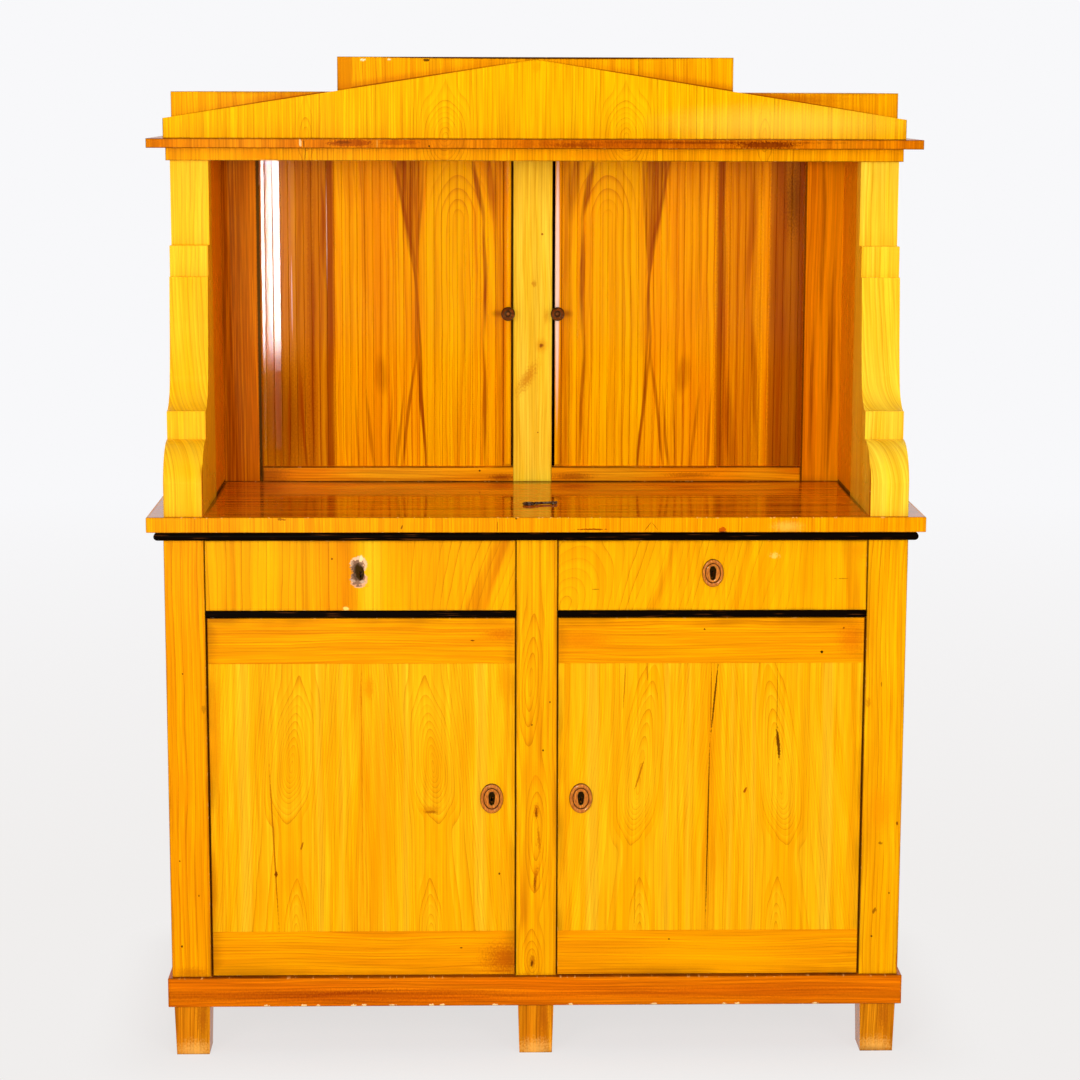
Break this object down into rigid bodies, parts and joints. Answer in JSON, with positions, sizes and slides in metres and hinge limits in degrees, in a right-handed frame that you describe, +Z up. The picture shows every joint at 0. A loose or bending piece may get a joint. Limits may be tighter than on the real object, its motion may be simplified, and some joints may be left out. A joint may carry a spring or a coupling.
{
  "type": "buffet and hutch",
  "caption": "Polished cherry buffet and hutch: scroll-sided serving niche, sliding tambour doors, drawers and hinged cupboard doors below a stepped pediment.",
  "frame": {"origin": "on the floor under the middle of the worktop", "axes": "+X to the right seen from the front, +Y to the back, +Z up"},
  "size_m": [1.333, 0.65, 1.722],
  "materials": {
    "cherry": "shellac polished cherry",
    "cherry_red": "shellac polished reddish cherry",
    "cherry_flame": "shellac polished streaked cherry",
    "ebonised": "black stained and polished",
    "pine": "bare softwood",
    "dark_turning": "dark turned wood",
    "escutcheon": "polished turned wood",
    "iron": "old forged iron"
  },
  "bodies": {
    "case": {"feet_front": "cherry", "feet_rear": "pine", "bottom_board": "pine", "plinth_front": "cherry_red", "plinth_returns": "cherry_red", "post_front_left": "cherry", "rear_posts": "pine", "post_front_right": "cherry", "centre_stile": "cherry", "side_panels": "cherry", "back_boards": "pine", "partition": "pine", "drawer_dividers": "ebonised", "drawer_frame": "pine", "cupboard_shelves": "pine", "worktop": "cherry", "worktop_lipping": "cherry", "worktop_moulding": "ebonised", "scroll_left": "cherry", "hutch_sides": "cherry", "scroll_right": "cherry", "hutch_centre_stile": "cherry", "hutch_side_stiles": "cherry", "hutch_bottom_rails": "cherry", "hutch_floor": "pine", "hutch_ceiling": "pine", "hutch_shelves": "pine", "hutch_lining": "pine", "tambour_left_curtain": "cherry_flame", "tambour_right_curtain": "cherry_flame", "frieze": "cherry", "cornice": "cherry_red", "pediment": "cherry", "attic_lower": "cherry", "attic_upper": "cherry", "pivot_sockets": "iron"},
    "tambour_left": {"tambour_left_lead": "cherry_flame", "tambour_left_knob": "dark_turning"},
    "tambour_right": {"tambour_right_lead": "cherry_flame", "tambour_right_knob": "dark_turning"},
    "door_left": {"door_left_boards": "cherry", "door_left_rails": "cherry", "door_left_ironwork": "iron", "door_left_escutcheon": "escutcheon"},
    "door_left_bolt": {"door_left_bolt": "iron"},
    "drawer_left": {"drawer_left_box": "pine", "drawer_left_front": "cherry", "drawer_left_lock": "iron"},
    "drawer_left_bolt": {"drawer_left_bolt": "iron"},
    "door_right": {"door_right_boards": "cherry", "door_right_rails": "cherry", "door_right_ironwork": "iron", "door_right_escutcheon": "escutcheon"},
    "door_right_bolt": {"door_right_bolt": "iron"},
    "drawer_right": {"drawer_right_box": "pine", "drawer_right_escutcheon": "escutcheon", "drawer_right_front": "cherry", "drawer_right_lock": "iron"},
    "drawer_right_bolt": {"drawer_right_bolt": "iron"},
    "key": {"key": "iron"}
  },
  "joints": [
    {"name": "door_left_hinge", "type": "hinge", "parent": "case", "child": "door_left", "pos_m": [-0.553, -0.297, 0.143], "axis": [0, 0, -1], "range_deg": [0, 100]},
    {"name": "drawer_left_slide", "type": "slide", "parent": "case", "child": "drawer_left", "axis": [0, -1, 0], "range_m": [0, 0.4]},
    {"name": "tambour_left_slide", "type": "slide", "parent": "case", "child": "tambour_left", "axis": [-1, 0, 0], "range_m": [0, 0.4], "deforming": ["tambour_left_curtain"]},
    {"name": "door_left_bolt_throw", "type": "slide", "parent": "door_left", "child": "door_left_bolt", "axis": [1, 0, 0], "range_m": [0, 0.009]},
    {"name": "drawer_left_bolt_throw", "type": "slide", "parent": "drawer_left", "child": "drawer_left_bolt", "axis": [0, 0, 1], "range_m": [0, 0.009]},
    {"name": "door_right_hinge", "type": "hinge", "parent": "case", "child": "door_right", "pos_m": [0.553, -0.297, 0.143], "axis": [0, 0, 1], "range_deg": [0, 100]},
    {"name": "drawer_right_slide", "type": "slide", "parent": "case", "child": "drawer_right", "axis": [0, -1, 0], "range_m": [0, 0.4]},
    {"name": "tambour_right_slide", "type": "slide", "parent": "case", "child": "tambour_right", "axis": [1, 0, 0], "range_m": [0, 0.4], "deforming": ["tambour_right_curtain"]},
    {"name": "door_right_bolt_throw", "type": "slide", "parent": "door_right", "child": "door_right_bolt", "axis": [-1, 0, 0], "range_m": [0, 0.009]},
    {"name": "drawer_right_bolt_throw", "type": "slide", "parent": "drawer_right", "child": "drawer_right_bolt", "axis": [0, 0, 1], "range_m": [0, 0.009]},
    {"name": "key_lift", "type": "slide", "parent": "case", "child": "key", "axis": [0, 0, 1], "range_m": [0, 0.12]}
  ]
}
